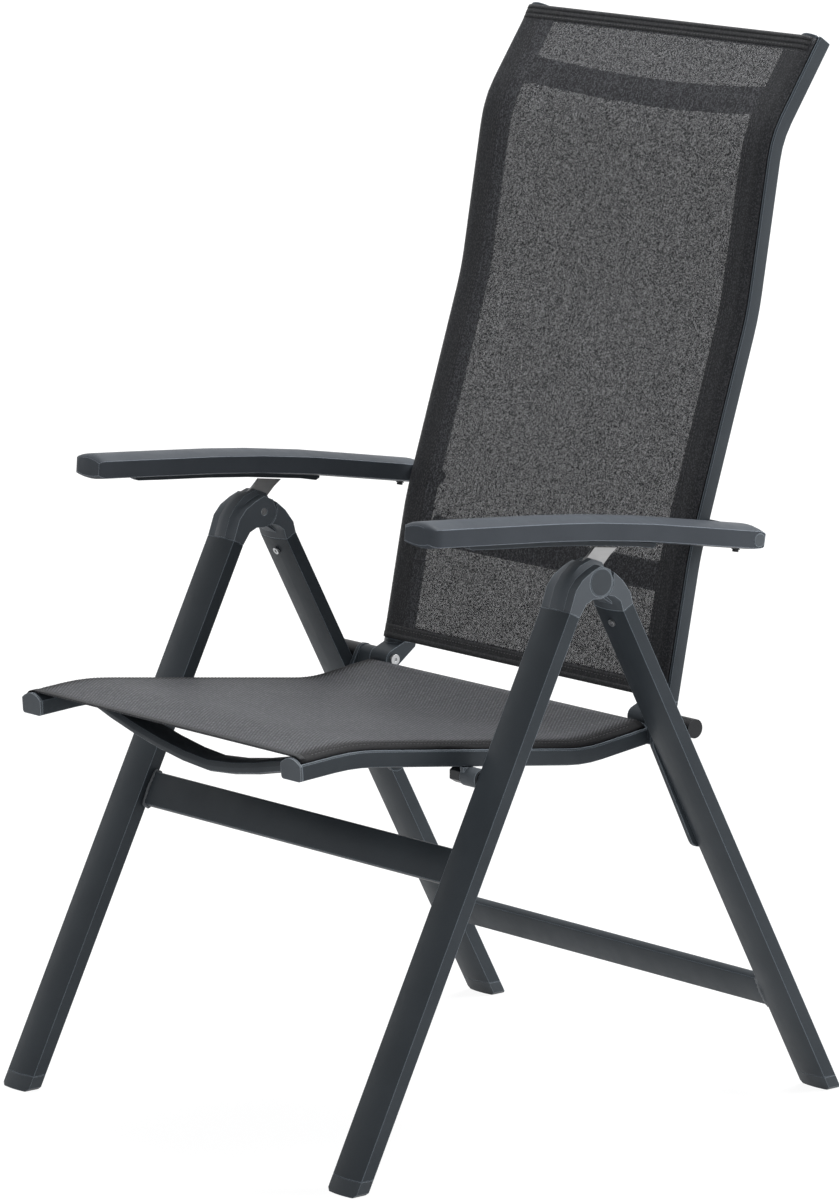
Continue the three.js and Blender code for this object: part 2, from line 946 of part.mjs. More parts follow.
function sling(line, before, after) {
  return sweep(slingOutline(), line.trimmed(before, after));
}

// Tubes across
function bowed(outline, bore, halfSpan, bow, power) {
  const shape = shapeOf(outline);
  shape.holes = [pathOf(bore)];
  const line = new BowLine(halfSpan, bow, power);
  const options = { steps: bowSteps, extrudePath: line, bevelEnabled: false };
  const geometry = new THREE.ExtrudeGeometry(shape, options);
  const position = geometry.attributes.position;
  const inner = halfSpan * (1 - 1 / bowSteps);
  for (let i = 0; i < position.count; i++) {
    const x = position.getX(i);
    if (Math.abs(x) > inner) position.setX(i, Math.sign(x) * halfSpan);
  }
  return geometry;
}

function flatTube(width, thickness, bow, power) {
  const radius = thickness / 2 - gap;
  const outline = roundedBox(width / 2, thickness / 2, radius);
  const boreWidth = width / 2 - crossWall;
  const bore = roundedBox(boreWidth, thickness / 2 - crossWall, radius - crossWall);
  return bowed(outline, bore, railInnerX - gap, bow, power);
}

function crossTube(place, lean, bow) {
  const geometry = flatTube(crossHeight, crossDepth, bow, 2);
  return geometry.rotateX(lean).translate(0, ...placed(place));
}

function seatTube() {
  const geometry = flatTube(seatTubeDepth, seatTubeHeight, seatTubeBow, seatTubeShape);
  return geometry.rotateX(-Math.PI / 2).translate(0, ...placed(seatTubePlace));
}

// Seat pivot
function seatBracket() {
  const drop = -railHalfHeight - gap;
  const [y, z] = seatPivot;
  const web = [
    [y - seatWebHalfLength, z],
    [y + seatWebHalfLength, z],
    beside(railLine, "y", y + seatWebHalfLength, drop),
    beside(railLine, "y", y - seatWebHalfLength, drop),
  ];
  const above = [
    beside(railLine, "y", y - 2 * seatBossRadius, drop),
    beside(railLine, "y", y + 2 * seatBossRadius, drop),
    beside(railLine, "y", y + 2 * seatBossRadius, railHalfHeight),
    beside(railLine, "y", y - 2 * seatBossRadius, railHalfHeight),
  ];
  const boss = disc(seatPivot, seatBossRadius, seatBossInnerX, seatBossOuterX, fineFacets);
  const bore = disc(seatPivot, boltRadius + runningGap, railInnerX, legInnerX);
  const clearance = slab(above, railInnerX - gap, railOuterX + gap);
  return cut(join(boss, slab(web, seatBossInnerX, railOuterX)), clearance, bore);
}

function seatBolt() {
  const headTo = seatBossInnerX - gap;
  const collarFrom = legInnerX + legWall + gap;
  const hexagon = circle(seatPivot, seatBoltHeadRadius, hexFacets, Math.PI / hexFacets);
  const shank = bossed(seatPivot, [
    [boltRadius, headTo - gap, collarFrom + collarThickness],
    [seatBossRadius - castingOverlap, seatBossOuterX + gap, legInnerX - gap],
    [boltRadius + castingOverlap, collarFrom, collarFrom + collarThickness],
  ]);
  return join(slab(hexagon, headTo - seatBoltHead, headTo), shank);
}

// Recline pivot
function plateCorners(line, atEnd, from, to) {
  const ends = stub(line, atEnd, from, to).stations;
  return ends.flatMap(({ y, z, angle }) =>
    [-railHalfHeight, railHalfHeight].map((up) => [y - up * Math.sin(angle), z + up * Math.cos(angle)]),
  );
}

function casting(line, atEnd, thickness, eyeFrom, eyeTo) {
  const side = atEnd ? 1 : -1;
  const ends = [side * gap, side * (gap + thickness)].sort((a, b) => a - b);
  const plugEnds = [side * (gap + castingOverlap), -side * castingPlug].sort((a, b) => a - b);
  const plate = sweep(railOutline(false), stub(line, atEnd, ...ends));
  const plug = sweep(boreOutline(railWall + gap), stub(line, atEnd, ...plugEnds));
  const eye = circle(reclinePivot, castingRadius, fineFacets);
  const arm = slab(hull([...eye, ...plateCorners(line, atEnd, ...ends)]), eyeFrom, eyeTo);
  const bore = disc(reclinePivot, boltRadius + runningGap, eyeFrom - gap, eyeTo + gap);
  return cut(join(plate, plug, arm), bore);
}

function railCasting() {
  return casting(railLine, true, railPlate, railEyeInnerX, railEyeOuterX);
}

function backCasting() {
  return casting(backLine, false, backPlate, backEyeInnerX, railEyeInnerX - gap);
}

function hingeBolt() {
  const headTo = backEyeInnerX - gap;
  const body = bossed(reclinePivot, [
    [hingeHeadRadius, headTo - hingeHead, headTo],
    [boltRadius, headTo - gap, railEyeOuterX],
  ]);
  const face = headTo - hingeHead;
  return cut(body, disc(reclinePivot, socketRadius + gap, face - gap, face + socketDepth, hexFacets));
}

function link() {
  const low = circle(linkPivot, linkHalfWidth);
  const high = circle(placed(linkTop), linkHalfWidth);
  const ear = circle(reclinePivot, linkEarRadius);
  const strap = slab(hull([...low, ...high]), linkInnerX, linkOuterX);
  const hook = slab(hull([...high, ...ear]), linkInnerX, linkOuterX);
  const hole = (centre) => disc(centre, boltRadius + runningGap, linkInnerX - gap, linkOuterX + gap);
  return cut(join(strap, hook), hole(linkPivot), hole(reclinePivot));
}

function linkRivet() {
  const headTo = linkInnerX - gap;
  const collarFrom = legInnerX + legWall + gap;
  return bossed(linkPivot, [
    [rivetRadius, headTo - rivetHead, headTo],
    [boltRadius, headTo - gap, collarFrom + gap],
    [boltRadius + castingOverlap, collarFrom, collarFrom + collarThickness],
  ]);
}

function roller() {
  const from = linkOuterX + gap;
  return bossed(reclinePivot, [
    [rollerRadius, from, rollerOuterX],
    [boltRadius, linkInnerX + gap, from + gap],
  ], fineFacets);
}

// Armrests
function armStations() {
  const line = armLine.map(placed);
  const ends = [line[0], line[line.length - 1]];
  const along = (a, b) => {
    const length = Math.hypot(b[0] - a[0], b[1] - a[1]);
    return [(b[0] - a[0]) / length, (b[1] - a[1]) / length];
  };
  const front = along(line[0], line[1]);
  const rear = along(line[line.length - 2], line[line.length - 1]);
  const stations = frontEndShares.map(([share, outer, inner, height]) => ({
    y: ends[0][0] + share * armEndLength * front[0],
    z: ends[0][1] + share * armEndLength * front[1],
    along: front,
    outer,
    inner,
    height,
  }));
  for (let i = 1; i < line.length - 1; i++) {
    const [y, z] = line[i];
    stations.push({ y, z, along: along(line[i - 1], line[i + 1]), outer: 1, inner: 1, height: 1 });
  }
  for (const [share, outer, inner, height] of rearEndShares) {
    const y = ends[1][0] - share * armEndLength * rear[0];
    const z = ends[1][1] - share * armEndLength * rear[1];
    stations.push({ y, z, along: rear, outer, inner, height });
  }
  return stations;
}

function armOutline() {
  const under = [];
  const top = [];
  for (let i = 0; i <= armCrownFacets; i++) {
    const x = lerp(-armWidth / 2, armWidth / 2, i / armCrownFacets);
    const share = 1 - (x / (armWidth / 2)) ** 2;
    under.push([x, -armHalfSide - armUnderCrown * share]);
    top.push([-x, armHalfSide + armCrown * share]);
  }
  return [...under, ...top].reverse();
}

function armrest() {
  const outline = armOutline();
  const rings = armStations().map(({ y, z, along, outer, inner, height }) =>
    outline.map(([x, up]) => {
      const across = x * (x > 0 ? outer : inner);
      const rise = up * height;
      return [armCentreX + across, y - rise * along[1], z + rise * along[0]];
    }),
  );
  const plugSeat = armOuterX - plugDepth - gap;
  const tools = [
    disc(armPivot, armBushRadius + runningGap, armInnerX - gap, armOuterX + gap, fineFacets),
    disc(armPivot, plugRadius + runningGap, plugSeat, armOuterX + plugProud + gap, fineFacets),
    armStud(runningGap),
  ];
  const flat = outline.map(([x, up]) => [-x, up]);
  return cut(skin(rings, flat), ...tools);
}

function armBush() {
  const flangeTo = armInnerX - gap;
  const steps = [
    [armBushFlange, flangeTo - armBushFlangeThickness, flangeTo],
    [armBushRadius, flangeTo - gap, armOuterX - plugDepth - 2 * gap],
  ];
  const bore = disc(armPivot, armPinRadius + runningGap, lugOuterX, armOuterX);
  return cut(bossed(armPivot, steps, fineFacets), bore);
}

function armPin() {
  const steps = [
    [plugRadius, armOuterX - plugDepth, armOuterX + plugProud],
    [armPinRadius, lugInnerX + gap, armOuterX - plugDepth + gap],
  ];
  return bossed(armPivot, steps, fineFacets);
}

function armSlope() {
  const [a, b] = armLine.slice(-2);
  return Math.atan2(b[1] - a[1], b[0] - a[0]);
}

function armStud(clearance) {
  const base = armHalfSide + armUnderCrown + gap - clearance;
  const washerTo = base + studWasher;
  return peg(armCentreX, placed(studPoint), armSlope() + Math.PI, [
    [studHeadRadius, washerTo - gap, washerTo + studHead],
    [studWasherRadius, base, washerTo],
    [studShankRadius + clearance, base - studShank - clearance, base + gap],
  ]);
}

function rack() {
  const line = rackLine.map(placed);
  const top = -armHalfSide - armUnderCrown - gap;
  const bottom = top - rackDepth + gap;
  const shifted = ([y, z], i, amount) => {
    const a = line[Math.max(i - 1, 0)];
    const b = line[Math.min(i + 1, line.length - 1)];
    const length = Math.hypot(b[0] - a[0], b[1] - a[1]);
    return [y - (amount * (b[1] - a[1])) / length, z + (amount * (b[0] - a[0])) / length];
  };
  const upper = line.map((p, i) => shifted(p, i, top));
  const middle = (top + bottom) / 2;
  const last = line.length - 1;
  const lower = line.map((p, i) => shifted(p, i, bottom));
  lower[0][0] += rackDepth;
  lower[last][0] -= rackDepth;
  const ends = [shifted(line[last], last, middle), shifted(line[0], 0, middle)];
  const outline = [...upper, ends[0], ...lower.reverse(), ends[1]];
  return slab(outline, legCentreX - rackWidth / 2, legCentreX + rackWidth / 2);
}

// One side of the chair
function legHoles(centre) {
  const wallTo = legInnerX + legWall + gap;
  return disc(centre, boltRadius + runningGap, legInnerX - gap, wallTo);
}

function sideParts() {
  return [
    painted("front_leg", leg(frontLean, -1, frontSeam, [legHoles(seatPivot)])),
    painted("rear_leg", leg(rearLean, 1, rearSeam, [legHoles(linkPivot), screwShank(gap)])),
    moulded("front_foot", foot(frontLean, -1)),
    moulded("rear_foot", foot(rearLean, 1)),
    moulded("front_knuckle", frontKnuckle()),
    moulded("rear_knuckle", rearKnuckle()),
    moulded("knuckle_cap", knuckleCap()),
    steel("knuckle_bolt", knuckleBolt()),
    steel("knuckle_screw", knuckleScrew()),
    steel("catch_plate", catchPlate()),
    painted("seat_rail", tube(railLine)),
    moulded("seat_rail_cap", railCap()),
    painted("seat_rail_casting", railCasting()),
    painted("seat_bracket", seatBracket()),
    dark("seat_bolt", seatBolt()),
    painted("back_tube", backTube()),
    painted("back_casting", backCasting()),
    steel("hinge_bolt", hingeBolt()),
    dark("roller", roller()),
    painted("link", link()),
    steel("link_rivet", linkRivet()),
    painted("armrest", armrest()),
    dark("armrest_rack", rack()),
    moulded("armrest_pin", armPin()),
    dark("armrest_bush", armBush()),
    dark("armrest_stud", armStud(0)),
  ];
}

const chair = new THREE.Group();
for (const [side, direction] of [["left", 1], ["right", -1]]) {
  const half = new THREE.Group();
  half.scale.x = direction;
  for (const mesh of sideParts()) {
    mesh.name += "_" + side;
    half.add(mesh);
  }
  chair.add(half);
}

chair.add(
  painted("front_crossbar", crossBar(frontLean, -1, barDepth / 2, frontBarDrop)),
  painted("rear_crossbar", crossBar(rearLean, 1, barDepth / 2 - rearBarInset, rearBarDrop)),
  painted("seat_front_tube", seatTube()),
  painted("back_upper_tube", crossTube(upperCross, upperCrossLean, upperCrossBow)),
  painted("back_lower_tube", crossTube(lowerCross, lowerCrossLean, lowerCrossBow)),
  part("seat_sling", sling(railLine, seatSlingInset, seatSlingInset), seatColour, 0.9, 0),
  part("back_sling", sling(backLine, seatSlingInset, backSlingInset), backColour, 0.9, 0),
);

chair.updateMatrixWorld(true);
const box = new THREE.Box3().setFromObject(chair, true);
chair.position.y = -(box.min.y + box.max.y) / 2;

export default chair;
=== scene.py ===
# Folding sling patio chair: slings, trimmings, looks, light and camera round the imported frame
import json
import math
import random

import bpy
from mathutils import Matrix, Vector


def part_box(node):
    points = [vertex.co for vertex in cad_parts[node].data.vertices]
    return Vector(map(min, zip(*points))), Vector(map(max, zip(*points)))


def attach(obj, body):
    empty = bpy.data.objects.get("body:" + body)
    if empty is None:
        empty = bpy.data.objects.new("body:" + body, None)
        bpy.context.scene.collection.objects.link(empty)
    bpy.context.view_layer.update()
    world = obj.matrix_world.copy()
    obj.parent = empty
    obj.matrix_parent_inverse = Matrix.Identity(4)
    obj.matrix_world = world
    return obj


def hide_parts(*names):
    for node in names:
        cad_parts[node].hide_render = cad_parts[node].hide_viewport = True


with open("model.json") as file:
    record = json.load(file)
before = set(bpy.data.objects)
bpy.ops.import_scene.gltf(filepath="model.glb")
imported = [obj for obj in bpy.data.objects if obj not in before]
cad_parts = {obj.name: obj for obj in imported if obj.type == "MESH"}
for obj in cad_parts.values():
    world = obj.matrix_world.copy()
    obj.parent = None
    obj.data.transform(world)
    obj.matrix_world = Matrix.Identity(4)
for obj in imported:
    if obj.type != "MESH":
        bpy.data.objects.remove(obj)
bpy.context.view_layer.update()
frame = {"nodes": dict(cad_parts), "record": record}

nodes = frame["nodes"]
random.seed(7)

# Lines of the rails and back tubes as in the part's source, in millimetres and degrees.
# A run is its length and its bend.
Y_SHIFT = -15.936
PIVOT_HEIGHT = 578
RAIL_CENTRE = 210.25
RAIL_HALF_WIDTH = 15.25
RAIL_HALF_HEIGHT = 8
CROWN = 6.5
CROWN_TOP = RAIL_HALF_HEIGHT + CROWN
GROOVE = 11.95
RAIL_START = (-333, -160)
RAIL_LEAN = 4
RAIL_RUNS = [(43, 0), (51, -11.4), (257, 0), (45, 14.4), (62, 0)]
BACK_START = (157, -152)
BACK_LEAN = 78.5
BACK_RUNS = [(135, 0), (34, -6.5), (215, 0), (42, 8), (138, 0), (43, -24.4), (94, 0)]
BEND_STEPS = 3
SEAT_INSET = 1
BACK_INSET = 4

# Thickness of each layer, and how far its middle lies over the crown, in millimetres
CLOTH_THICK = 0.62
CLOTH_UP = 1.29
HEM_THICK = 0.5
HEM_UP = 0.58
FOLD_THICK = 0.46
FOLD_UP = 1.9
FOLD_RISE = 0.52

# Cloth between the rails, in millimetres
SEAT_SAG = 2.4
BACK_SAG = 1.6
STEADY_END = 14
SIDE_HEM = 21.75
WRAP_STEPS = 6
CLOTH_STEP = 9
HEM_STEP = 6

# Stitches, in millimetres
STITCH = 3.2
STITCH_GAP = 1.4
STITCH_SKEW = 0.12
THREAD_WIDTH = 0.62
ROW_GAP = 4
HEM_ROW = RAIL_CENTRE - SIDE_HEM + 3
CROWN_ROW = HEM_ROW + 22
ROW_REACH = RAIL_CENTRE - 6

# Weld beads, in metres
BEAD_RADIUS = 0.003
BEAD_STEP = 0.0016
BEAD_INSET = 0.0006
BEAD_RING = 8
END_DEPTH = 0.0012

# Floor and camera; the photograph's focal length and centre are in its pixels
FLOOR_HALF = 40
FLOOR_DROP = 0.0004
FLOOR_GLOW = 1.16
PHOTO_SIZE = (839, 1200)
FOCAL_LENGTH = 6767
OPTICAL_CENTRE = (416.6, 573.7)
CAMERA_TARGET = (0.00093, -0.013436, 0.54585)
CAMERA_AZIMUTH = 49.76
CAMERA_ELEVATION = 10.48
CAMERA_DISTANCE = 6.972
SENSOR = 36


def stations(start, lean, runs, before, after):
    """Points (y, z, angle) along a bent tube, cut short at both ends."""
    y, z = start[0], start[1] + PIVOT_HEIGHT
    angle = math.radians(lean)
    found = [[y, z, angle]]
    for length, bend in runs:
        steps = BEND_STEPS if bend else 1
        turn = math.radians(bend) / steps
        for _ in range(steps):
            middle = angle + turn / 2
            y += length / steps * math.cos(middle)
            z += length / steps * math.sin(middle)
            angle += turn
            found.append([y, z, angle])
    found[0][0] += before * math.cos(found[0][2])
    found[0][1] += before * math.sin(found[0][2])
    found[-1][0] -= after * math.cos(found[-1][2])
    found[-1][1] -= after * math.sin(found[-1][2])
    return found


class Line:
    """A tube's middle line: v runs along it, up is square to it."""

    def __init__(self, found):
        self.found = found
        self.at = [0]
        for a, b in zip(found, found[1:]):
            self.at.append(self.at[-1] + math.dist(a[:2], b[:2]))
        self.length = self.at[-1]

    def point(self, v, x, up):
        i = max(k for k in range(len(self.at) - 1) if self.at[k] <= v + 1e-9)
        share = (v - self.at[i]) / (self.at[i + 1] - self.at[i])
        ends = []
        for y, z, angle in self.found[i : i + 2]:
            ends.append((y - up * math.sin(angle), z + up * math.cos(angle)))
        y = ends[0][0] + (ends[1][0] - ends[0][0]) * share
        z = ends[0][1] + (ends[1][1] - ends[0][1]) * share
        return Vector((x, y + Y_SHIFT, z)) / 1000


class Sling:
    """A stretched sling: its line, its sag, its body and slot, and the trimmings sewn to it."""

    def __init__(self, name, line, deepest, body):
        self.name = name
        self.line = line
        self.deepest = deepest
        self.body = body
        self.slot = f"{name}_mesh"
        self.trim = []

    def sag(self, x, v):
        if abs(x) >= RAIL_CENTRE - 1:
            return 0
        length = self.line.length
        across = 1 - (x / RAIL_CENTRE) ** 2
        along = min(1, 4 * max(0, v - STEADY_END) / length)
        along *= min(1, 4 * max(0, length - STEADY_END - v) / length)
        return self.deepest * across * along


rail_line = Line(stations(RAIL_START, RAIL_LEAN, RAIL_RUNS, SEAT_INSET, SEAT_INSET))
back_line = Line(stations(BACK_START, BACK_LEAN, BACK_RUNS, SEAT_INSET, BACK_INSET))
seat = Sling("seat", rail_line, SEAT_SAG, "seat")
back = Sling("back", back_line, BACK_SAG, "backrest")


# Meshes
def mesh_piece(name, points, faces, surface, uvs=None):
    mesh = bpy.data.meshes.new(name)
    mesh.from_pydata([tuple(p) for p in points], [], faces)
    if uvs:
        layer = mesh.uv_layers.new(name="cloth")
        for loop in mesh.loops:
            layer.data[loop.index].uv = uvs[loop.vertex_index]
    for polygon in mesh.polygons:
        polygon.use_smooth = True
    mesh.materials.append(surface)
    piece = bpy.data.objects.new(name, mesh)
    bpy.context.scene.collection.objects.link(piece)
    return piece


def spaced(start, end, step):
    count = max(1, round(abs(end - start) / step))
    return [start + (end - start) * i / count for i in range(count + 1)]


def crown(x):
    """Height of the rail's crowned top at x."""
    across = max(0, abs(x) - RAIL_CENTRE)
    return RAIL_HALF_HEIGHT + CROWN * (1 - (across / RAIL_HALF_WIDTH) ** 2)


def wrap(side):
    """Places (x, up, slope) from the crown's top outwards and down into the groove."""
    lip = RAIL_CENTRE + GROOVE
    found = []
    for i in range(1, WRAP_STEPS):
        x = RAIL_CENTRE + GROOVE * i / WRAP_STEPS
        slope = math.atan2(2 * CROWN * (x - RAIL_CENTRE) / RAIL_HALF_WIDTH**2, 1)
        found.append((x, crown(x), slope))
    found.append((lip, crown(lip) - 0.35, 1.1))
    found.append((lip, crown(lip) - 1.3, math.pi / 2))
    found.append((lip, crown(lip) - 3.9, math.pi / 2))
    return [(side * x, up, side * slope) for x, up, slope in found]


def over_crown(side):
    """The part of the wrap that lies on the crown."""
    return wrap(side)[: WRAP_STEPS - 1]


def flat_places(start, end, step):
    return [(x, CROWN_TOP, 0) for x in spaced(start, end, step)]


def cloth_profile():
    return wrap(-1)[::-1] + flat_places(-RAIL_CENTRE, RAIL_CENTRE, CLOTH_STEP) + wrap(1)


def band_profile():
    flat = flat_places(-RAIL_CENTRE, RAIL_CENTRE, CLOTH_STEP)
    return over_crown(-1)[::-1] + flat + over_crown(1)


def side_hem_profile(side):
    found = flat_places(RAIL_CENTRE - SIDE_HEM, RAIL_CENTRE, HEM_STEP) + over_crown(1)
    if side > 0:
        return found
    return [(-x, up, -slope) for x, up, slope in found][::-1]


def slab(name, sling, along, across, lift, thick, surface):
    """A closed strip of cloth through the places across, repeated at each v in along."""
    run = 0
    uv_across = []
    for i, (x, up, _) in enumerate(across):
        if i:
            run += math.dist((x, up), across[i - 1][:2])
        uv_across.append(run)
    points, uvs = [], []
    for side in (1, -1):
        for v in along:
            for (x, up, slope), u in zip(across, uv_across):
                px = x + side * thick / 2 * math.sin(slope)
                pu = up + lift - sling.sag(x, v) + side * thick / 2 * math.cos(slope)
                points.append(sling.line.point(v, px, pu))
                uvs.append((u / 1000, v / 1000))
    n, rows = len(across), len(along)
    under = n * rows
    faces = []
    for r in range(rows - 1):
        for a in range(r * n, r * n + n - 1):
            faces.append((a, a + 1, a + n + 1, a + n))
            faces.append((under + a, under + a + n, under + a + n + 1, under + a + 1))
        first, last = r * n, r * n + n - 1
        faces.append((first, first + n, under + first + n, under + first))
        faces.append((last, under + last, under + last + n, last + n))
    for c in range(n - 1):
        a, b = c, (rows - 1) * n + c
        faces.append((a, under + a, under + a + 1, a + 1))
        faces.append((b, b + 1, under + b + 1, under + b))
    return mesh_piece(name, points, faces, surface, uvs)


def stitches(name, sling, rows, lift):
    """Rows of thread: each row is (x0, v0, x1, v1) and lies along or across the cloth."""
    # A stitch's edges as share from its end, side and height: tip, left, right and ridge
    edges = ((0, 0, -0.25), (0.25, 1, 0.1), (0.25, -1, 0.1), (0.25, 0, 0.32))
    line = sling.line
    points, faces = [], []
    for x0, v0, x1, v1 in rows:
        length = math.hypot(x1 - x0, v1 - v0)
        dx, dv = (x1 - x0) / length, (v1 - v0) / length
        for i in range(int(length / (STITCH + STITCH_GAP))):
            start = i * (STITCH + STITCH_GAP) + STITCH_GAP / 2
            skew = random.uniform(-STITCH_SKEW, STITCH_SKEW)
            first = len(points)
            for share, side, height in edges:
                for t in (share * STITCH, (1 - share) * STITCH):
                    off = side * THREAD_WIDTH / 2 + skew * (t / STITCH - 0.5)
                    x = x0 + dx * (start + t) - dv * off
                    v = v0 + dv * (start + t) + dx * off
                    base = crown(x) + lift - sling.sag(x, v)
                    points.append(line.point(min(max(v, 0), line.length), x, base + height))
            s, e, la, lb, ra, rb, ta, tb = range(first, first + 8)
            faces += [(s, la, ta), (s, ta, ra), (s, ra, la), (e, tb, lb), (e, rb, tb)]
            faces += [(e, lb, rb), (la, lb, tb, ta), (ta, tb, rb, ra), (ra, rb, lb, la)]
    piece = mesh_piece(name, points, faces, hem_thread)
    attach(piece, sling.body)
    sling.trim.append(piece)


# Shader nodes
class Tree:
    """A node tree with short calls for the nodes that the looks are made of."""

    def __init__(self, tree):
        self.tree = tree

    def node(self, kind, **values):
        made = self.tree.nodes.new(kind)
        for key, value in values.items():
            setattr(made, key, value)
        return made

    def link(self, source, target):
        self.tree.links.new(source, target)

    def place(self):
        return self.node("ShaderNodeTexCoord").outputs["Object"]

    def noise(self, vector, scale, detail=2, rough=0.5):
        made = self.node("ShaderNodeTexNoise")
        made.inputs["Scale"].default_value = scale
        made.inputs["Detail"].default_value = detail
        made.inputs["Roughness"].default_value = rough
        self.link(vector, made.inputs["Vector"])
        return made.outputs["Fac"]

    def stretch(self, vector, scale):
        made = self.node("ShaderNodeMapping")
        made.inputs["Scale"].default_value = scale
        self.link(vector, made.inputs["Vector"])
        return made.outputs["Vector"]

    def span(self, value, low, high, to_low, to_high):
        made = self.node("ShaderNodeMapRange")
        made.inputs["From Min"].default_value = low
        made.inputs["From Max"].default_value = high
        made.inputs["To Min"].default_value = to_low
        made.inputs["To Max"].default_value = to_high
        self.link(value, made.inputs["Value"])
        return made.outputs["Result"]

    def math(self, operation, first, second=0.5):
        made = self.node("ShaderNodeMath", operation=operation)
        for socket, value in zip(made.inputs, (first, second)):
            if isinstance(value, (int, float)):
                socket.default_value = value
            else:
                self.link(value, socket)
        return made.outputs["Value"]

    def mix(self, share, first, second, blend="MIX"):
        made = self.node("ShaderNodeMix", data_type="RGBA", blend_type=blend)
        sockets = (("Factor_Float", share), ("A_Color", first), ("B_Color", second))
        for name, value in sockets:
            socket = next(s for s in made.inputs if s.identifier == name)
            if isinstance(value, bpy.types.NodeSocket):
                self.link(value, socket)
            else:
                socket.default_value = (*value, 1) if isinstance(value, tuple) else value
        return next(s for s in made.outputs if s.identifier == "Result_Color")

    def mix_shader(self, share, first, second, target):
        made = self.node("ShaderNodeMixShader")
        self.link(share, made.inputs["Fac"])
        self.link(first, made.inputs[1])
        self.link(second, made.inputs[2])
        self.link(made.outputs["Shader"], target)

    def shown(self):
        """1 where the camera, a reflection or a clear piece looks, 0 for plain light."""
        path = self.node("ShaderNodeLightPath")
        found = path.outputs["Is Camera Ray"]
        for name in ("Is Glossy Ray", "Is Transmission Ray"):
            found = self.math("MAXIMUM", found, path.outputs[name])
        return found


class Shader(Tree):
    """A material on one Principled BSDF."""

    def __init__(self, name):
        self.made = bpy.data.materials.new(name)
        self.made.use_nodes = True
        super().__init__(self.made.node_tree)
        self.bsdf = self.tree.nodes["Principled BSDF"]

    def edges(self, radius):
        made = self.node("ShaderNodeBevel", samples=6)
        made.inputs["Radius"].default_value = radius
        return made.outputs["Normal"]

    def bump(self, height, strength, distance, normal=None):
        made = self.node("ShaderNodeBump")
        made.inputs["Strength"].default_value = strength
        made.inputs["Distance"].default_value = distance
        self.link(height, made.inputs["Height"])
        if normal:
            self.link(normal, made.inputs["Normal"])
        self.link(made.outputs["Normal"], self.bsdf.inputs["Normal"])

    def drive(self, value, socket):
        self.link(value, self.bsdf.inputs[socket])

    def set(self, **values):
        for key, value in values.items():
            self.bsdf.inputs[key.replace("_", " ")].default_value = value


def scaled(colour, times):
    return tuple(min(1, c * times) for c in colour)


def painted_edge_highlight(shader, radius):
    """Share of painted edge highlight, from how far the rounded normal leaves the face's own."""
    sharp = shader.node("ShaderNodeNewGeometry").outputs["Normal"]
    dot = shader.node("ShaderNodeVectorMath", operation="DOT_PRODUCT")
    shader.link(sharp, dot.inputs[0])
    shader.link(shader.edges(radius), dot.inputs[1])
    return shader.span(dot.outputs["Value"], 0.92, 0.998, 1, 0)


def coat(name, colour, light, rough, level, grain, depth, edge, highlight_gain=4):
    """Paint or moulded plastic: cloudy, finely grained, with a painted highlight along its edges
    whose lightness the last argument sets.
    """
    shader = Shader(name)
    place = shader.place()
    cloud = shader.noise(place, 14, 3)
    fine = shader.noise(place, grain, 2)
    tone = shader.mix(shader.span(cloud, 0.35, 0.65, 0, 1), colour, light)
    fleck = shader.mix(shader.span(fine, 0.3, 0.8, 0, 0.3), tone, scaled(light, 1.5))
    # Painted highlight: a lighter line along the edges stands in for the light they catch
    edge_highlight = shader.math("MULTIPLY", painted_edge_highlight(shader, edge), 0.9)
    shader.drive(shader.mix(edge_highlight, fleck, scaled(light, highlight_gain)), "Base Color")
    smear = shader.noise(shader.stretch(place, (60, 60, 22)), 1, 4, 0.6)
    shader.drive(shader.span(smear, 0.3, 0.7, rough - 0.05, rough + 0.07), "Roughness")
    shader.set(Specular_IOR_Level=level)
    shader.bump(fine, depth, 0.0004, shader.edges(edge))
    return shader.made


def steel(name, colour, rough, stretch):
    """Bare steel with fine drawn lines and a few dull spots."""
    shader = Shader(name)
    place = shader.place()
    lines = shader.noise(shader.stretch(place, stretch), 1, 5, 0.65)
    cloud = shader.noise(place, 60, 3)
    tone = shader.mix(lines, scaled(colour, 0.72), colour)
    spot = shader.mix(shader.span(cloud, 0.5, 0.8, 0, 0.35), tone, scaled(colour, 0.6))
    shader.drive(spot, "Base Color")
    shader.drive(shader.span(lines, 0.2, 0.8, rough - 0.08, rough + 0.12), "Roughness")
    shader.set(Metallic=1.0, Anisotropic=0.5)
    shader.bump(lines, 0.25, 0.0002, shader.edges(0.0006))
    return shader.made


def thread(name, colour):
    shader = Shader(name)
    twist = shader.noise(shader.place(), 2600, 2)
    shader.drive(shader.mix(twist, scaled(colour, 0.6), colour), "Base Color")
    shader.set(Roughness=0.6, Specular_IOR_Level=0.35)
    shader.bump(twist, 0.4, 0.0001)
    return shader.made


